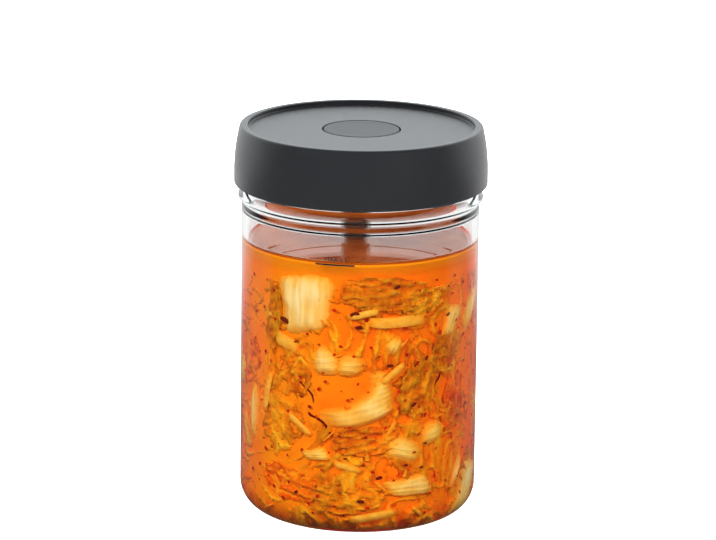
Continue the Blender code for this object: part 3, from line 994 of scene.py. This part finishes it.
# Angle from the front, height, tilt, length and width of each strip
FRONT_STRIPS = [
    (20, 100, -3, 30, 5.0),
    (-39, 88, -28, 15, 6.0),
    (2, 104, 8, 16, 3.0),
    (-31, 51, -40, 16, 3.0),
    (-52, 62, 75, 22, 3.5),
    (17, 76, 35, 16, 3.0),
    (-5, 33, -20, 15, 3.0),
    (8, 10, 6, 24, 3.5),
]
SHREDS = 110
shreds = []
for angle, height, tilt, length, width in FRONT_STRIPS:
    shreds.append(copy_to(shred_master, on_wall(angle, height, tilt), (length, width, 1), 0.8))
for index in range(SHREDS):
    angle = 360 * ((index * GOLDEN_RATIO) % 1)
    height = 6 + (HEAP_TOP - 12) * (index + 0.5) / SHREDS
    lay = on_wall(angle, height + draw.uniform(-4, 4), draw.gauss(20, 50))
    sunk = Vector((0, 0, -draw.uniform(0.3, 2.5)))
    size = (draw.uniform(4, 12), draw.uniform(0.8, 2.2), 1)
    shreds.append(copy_to(shred_master, lambda point: lay(point + sunk), size, draw.random()))

# %% Draw the painted shade lines out of it
# Angle from the front, height, tilt, length and width of each painted shade line
FOLD_SHADOW_LINES = [
    (-28, 68, -58, 20, 1.0), (-20, 53, -42, 19, 1.3), (-31, 97, -24, 16, 0.9), (30, 78, 60, 9, 0.9),
    (44, 70, 50, 9, 0.9)]
FOLD_SHADOW_DEPTH = 1.9
# Painted shade: near-black strips where folded leaves meet and shade falls.
painted_fold_shadows = []
for index, (angle, height, tilt, length, width) in enumerate(FOLD_SHADOW_LINES):
    lay = on_wall(angle, height, tilt)

    def wander(point):
        """Lay the painted shade line behind the glass, in a shallow wave."""
        wave = 0.05 * length * math.sin(0.42 * point.x + index)
        return lay(point + Vector((0, wave, -FOLD_SHADOW_DEPTH)))

    painted_fold_shadows.append(copy_to(shred_master, wander, (length, width, 1), 0.5))
shred_piece = join(shreds, "cabbage_shreds")
bpy.data.objects.remove(shred_master)
smooth(shred_piece, 60)
report(shred_piece)

# %% [markdown]
# ### The look of the shreds
# Streaks run along the shreds, and each copy's tint sets it between warm orange and pale gold.

# %% Shred finish
shred_finish, tree, shader = new_material("cabbage_shred")
wet(shader)
streaks = object_noise(tree, 500.0, 3.0, stretch=(0.5, 0.5, 1))
gold = colour_ramp(tree, streaks, [(0.3, (0.86, 0.44, 0.04)), (0.7, (0.95, 0.70, 0.18))])
warm = colour_ramp(tree, streaks, [(0.3, (0.82, 0.22, 0.01)), (0.7, (0.93, 0.44, 0.04))])
tree.links.new(mixed(tree, tint_value(tree), warm, gold), shader.inputs["Base Color"])
tree.links.new(bump(tree, streaks, 0.3, 0.0003), shader.inputs["Normal"])
shred_piece.data.materials.append(shred_finish)
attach(shred_piece, "root")
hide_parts("kimchi")

# %% [markdown]
# ## Chilli flakes and dark seeds
# Red flakes, one or two millimetres across, stick to everything, and a few dark specks stand out.
# Both start as an icosphere that is pressed flat and bent, with few faces, because there are
# hundreds.


# %% Model a flake and scatter it
def make_speck(flatness):
    select_only()
    bpy.ops.mesh.primitive_ico_sphere_add(subdivisions=2, radius=0.5)
    speck = bpy.context.object
    for vertex in speck.data.vertices:
        push = 1 + 0.5 * noise.noise(vertex.co * 2.4)
        bend = 0.2 * vertex.co.x ** 2
        vertex.co = Vector((vertex.co.x * push, vertex.co.y * push * 0.7, vertex.co.z * flatness + bend))
    return speck


FLAKES = 420
# Steps by this share of the height never fall in with the golden steps round the jar
HEIGHT_RATIO = 0.7548777
flake_master = make_speck(0.25)
flakes = []
for index in range(FLAKES):
    angle = 360 * ((index * GOLDEN_RATIO) % 1)
    height = 6 + (HEAP_TOP - 9) * ((index * HEIGHT_RATIO) % 1)
    lay = on_wall(angle + draw.uniform(-3, 3), height, draw.uniform(0, 180))
    size = draw.uniform(0.7, 2.2)
    sunk = Vector((0, 0, -draw.uniform(0.3, 2.2)))
    flakes.append(copy_to(flake_master, lambda point: lay(point + sunk), (size, size, 1), draw.random()))
flake_piece = join(flakes, "chilli_flakes")
bpy.data.objects.remove(flake_master)
smooth(flake_piece, 60)
report(flake_piece)

# %% [markdown]
# ### The look of the flakes
# Each flake lies between a bright and a deep chilli red, by its tint, with a fine mottle.

# %% Flake finish
flake_finish, tree, shader = new_material("chilli_flake")
wet(shader)
mottle = object_noise(tree, 900.0, 2.0)
bright = colour_ramp(tree, mottle, [(0.3, (0.45, 0.02, 0.005)), (0.7, (0.75, 0.07, 0.01))])
deep = colour_ramp(tree, mottle, [(0.3, (0.20, 0.01, 0.004)), (0.7, (0.40, 0.03, 0.01))])
tree.links.new(mixed(tree, tint_value(tree), bright, deep), shader.inputs["Base Color"])
flake_piece.data.materials.append(flake_finish)
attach(flake_piece, "root")
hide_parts("kimchi")

# %% [markdown]
# ### Seeds and painted shade lines
# The eye finds a dark speck at once, so the ones at the front have places of their own. The dark
# lines of painted shade between folded leaves are joined with them, because both share one dark
# red that is nearly black.

# %% Scatter the seeds
# Angle from the front, height, tilt and size of each speck
DARK_SPECKS = [
    (-40, 98, -20, 5.0), (19, 116, 20, 3.0), (0, 98, 0, 3.6), (16, 80, 0, 3.0), (36, 82, 60, 2.4),
    (50, 100, 30, 2.4), (-33, 89, 0, 1.6), (-2, 104, 8, 4.5), (11, 28, 10, 3.4), (2, 17, -5, 3.4),
    (-32, 19, 30, 2.2), (3, 34, 0, 1.8), (-6, 37, 0, 1.8), (25, 33, 0, 2.4), (34, 31, 0, 2.0),
    (36, 42, 0, 1.8), (29, 61, 40, 2.8), (-3, 65, 0, 1.6),
]
seed_master = make_speck(0.4)
sunk = Vector((0, 0, -0.35))
seeds = []
for angle, height, tilt, size in DARK_SPECKS:
    lay = on_wall(angle, height, tilt)
    seeds.append(copy_to(seed_master, lambda point: lay(point + sunk), (size, size * 0.7, 1), 0.5))
# The painted shade lines join the seeds and take their near-black finish.
seeds_and_fold_shadows = join(seeds + painted_fold_shadows, "dark_seed_and_fold_shadows")
bpy.data.objects.remove(seed_master)
smooth(seeds_and_fold_shadows, 60)
report(seeds_and_fold_shadows)

# %% Seed finish
seed_and_fold_shadow_finish, tree, shader = new_material("dark_seed_and_fold_shadow")
wet(shader)
seed_and_fold_shadow_mottle = object_noise(tree, 1200.0, 2.0)
# This near-black colours the real seeds and the painted shade lines alike.
seed_and_fold_shadow_colour = colour_ramp(tree, seed_and_fold_shadow_mottle, [(0.35, (0.07, 0.008, 0.004)), (0.7, (0.22, 0.02, 0.008))])
tree.links.new(seed_and_fold_shadow_colour, shader.inputs["Base Color"])
seeds_and_fold_shadows.data.materials.append(seed_and_fold_shadow_finish)
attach(seeds_and_fold_shadows, "root")
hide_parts("kimchi")

# %% [markdown]
# ## The fill line
# A thin line and small letters are printed on the glass at one litre. The line is a narrow grid
# and the letters are a text object made into a mesh; both are bent round the glass a few
# hundredths of a millimetre outside it.

# %% Print the fill line
FILL_FROM, FILL_TO = -20.0, -2.3
FILL_MIDDLE = (FILL_FROM + FILL_TO) / 2
FILL_HEIGHT = 126.9
LINE_WIDTH = 0.75
LETTER_SIZE = 2.9
LETTER_RISE = 1.7
PRINT_LIFT = 0.04


def wrap_print(piece):
    """Bend a flat print, X round the jar and Y up, onto the outside of the glass."""
    for vertex in piece.data.vertices:
        turn = vertex.co.x / JAR_RADIUS
        radius = JAR_RADIUS + PRINT_LIFT
        vertex.co = Vector((radius * math.sin(turn), -radius * math.cos(turn), vertex.co.y)) * MM


line = flat_grid(32, 1)
line.scale = (FILL_TO - FILL_FROM, LINE_WIDTH, 1)
line.location = (FILL_MIDDLE, FILL_HEIGHT, 0)
settle(line, "line")
select_only()
bpy.ops.object.text_add(location=(FILL_MIDDLE + 0.5, FILL_HEIGHT + LETTER_RISE, 0))
words = bpy.context.object
words.data.body = "MAX 1 L"
words.data.size = LETTER_SIZE
words.data.align_x = "CENTER"
bpy.ops.object.convert(target="MESH")
words = bpy.context.object
settle(words, "words")
print_piece = join([line, words], "fill_line")
wrap_print(print_piece)
ink, tree, shader = new_material("ink")
ink_noise = object_noise(tree, 3000.0, 2.0)
ink_colour = colour_ramp(tree, ink_noise, [(0.3, (0.006, 0.005, 0.005)), (0.7, (0.016, 0.014, 0.014))])
tree.links.new(ink_colour, shader.inputs["Base Color"])
shader.inputs["Roughness"].default_value = 0.5
print_piece.data.materials.append(ink)
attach(print_piece, "root")
report(print_piece)

# %% [markdown]
# ## The studio
# The jar stands in a white studio. The floor glows, so that it stays white all round the jar. A
# reflection sees it otherwise: nearly black in front of the jar, grey behind it and white farther
# back. That gives the glass brown edges beside the brine and bright ones above. The world is faint
# towards the camera and bright behind, so the lid's side stays dark.

# %% Floor
select_only()
bpy.ops.mesh.primitive_plane_add(size=12, location=(0, 0, -0.0003))
floor = bpy.context.object
settle(floor, "floor")
floor_finish, tree, shader = new_material("floor")
floor_tone = object_noise(tree, 3.0, 1.0)
floor_colour = colour_ramp(tree, floor_tone, [(0.3, (0.93, 0.93, 0.93)), (0.7, (0.95, 0.95, 0.95))])
tree.links.new(floor_colour, shader.inputs["Base Color"])
shader.inputs["Roughness"].default_value = 0.9
shader.inputs["Specular IOR Level"].default_value = 0.0
shader.inputs["Emission Color"].default_value = (1, 1, 1, 1)
shader.inputs["Emission Strength"].default_value = 1.0
spot = add_node(tree, "ShaderNodeNewGeometry").outputs["Position"]
depthwise = add_node(tree, "ShaderNodeSeparateXYZ", Vector=spot).outputs["Y"]
far_away = add_node(tree, "ShaderNodeMapRange", Value=depthwise, From_Min=-0.02, From_Max=0.42)
grey_steps = [(0, 0.05), (0.18, 0.2), (0.6, 0.25), (1, 1)]
glimpse = colour_ramp(tree, far_away.outputs["Result"], [(stop, (grey,) * 3) for stop, grey in grey_steps])
swap_for_ray(tree, "Is Glossy Ray", shader, add_node(tree, "ShaderNodeEmission", Strength=glimpse))
floor.data.materials.append(floor_finish)
floor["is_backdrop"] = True

# %% World
world = bpy.data.worlds.new("studio")
world.use_nodes = True
bpy.context.scene.world = world
tree = world.node_tree
direction = add_node(tree, "ShaderNodeTexCoord").outputs["Generated"]
depthwise = add_node(tree, "ShaderNodeSeparateXYZ", Vector=direction).outputs["Y"]
brightness = add_node(
    tree, "ShaderNodeMapRange", Value=depthwise, From_Min=-0.15, From_Max=0.6, To_Min=0.05, To_Max=1.4)
tree.links.new(brightness.outputs["Result"], tree.nodes["Background"].inputs["Strength"])
tree.nodes["Background"].inputs["Color"].default_value = (0.93, 0.98, 1, 1)


# %% [markdown]
# ### Lamps
# Two large lamps light the cabbage from the front, a weak one lights the lid from above, and one
# behind the jar lifts its rear edge. None of them shows in the glass.


# %% Lamps
def lamp(name, place, target, size, power):
    data = bpy.data.lights.new(name, "AREA")
    data.size = size
    data.energy = power
    light = bpy.data.objects.new(name, data)
    bpy.context.collection.objects.link(light)
    light.location = place
    light.rotation_euler = (Vector(target) - Vector(place)).to_track_quat("-Z", "Y").to_euler()
    light.visible_glossy = False
    light.visible_transmission = False
    return light


lamp("key", (-0.9, -1.3, 1.0), (0, 0, 0.08), 0.8, 33)
lamp("fill", (1.0, -1.2, 0.6), (0, 0, 0.08), 0.9, 21)
lamp("overhead", (0, 0.2, 1.6), (0, 0, 0.1), 1.0, 10)
lamp("rear", (0.3, 1.4, 0.7), (0, 0, 0.08), 1.0, 22)

# %% [markdown]
# ### Camera
# The camera stands 1.8 m away and looks down on the jar by about 15 degrees, with the faint roll
# that the photograph has. Its lens is worked out from a focal length in pixels of the picture.

# %% Camera
CAMERA_DISTANCE = 1.8
CAMERA_ELEVATION = math.radians(14.59)
CAMERA_ROLL = 0.0125
AIM = Vector((-0.0008, 0, 0.1111))
PHOTO_WIDTH = 716
PIXELS_FOCAL = 3952
camera_data = bpy.data.cameras.new("camera")
camera_data.sensor_width = 36
camera_data.lens = camera_data.sensor_width * PIXELS_FOCAL / PHOTO_WIDTH
camera_data.clip_end = 20
camera = bpy.data.objects.new("camera", camera_data)
bpy.context.collection.objects.link(camera)
back = Vector((0, -math.cos(CAMERA_ELEVATION), math.sin(CAMERA_ELEVATION)))
camera.location = AIM + back * CAMERA_DISTANCE
camera.rotation_euler = (-back).to_track_quat("-Z", "Y").to_euler()
camera.rotation_euler.rotate_axis("Z", CAMERA_ROLL)
bpy.context.scene.camera = camera
bpy.context.scene.view_settings.view_transform = "Standard"

# %% [markdown]
# ## Measure and finish
# The last cell gives the box of the CAD model and of the dressed one, side by side.

# %% Measure the sizes and finish
boxes = {"cad": cad_box, "visual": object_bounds()}
{key: [list(corner) for corner in box] for key, box in boxes.items()}
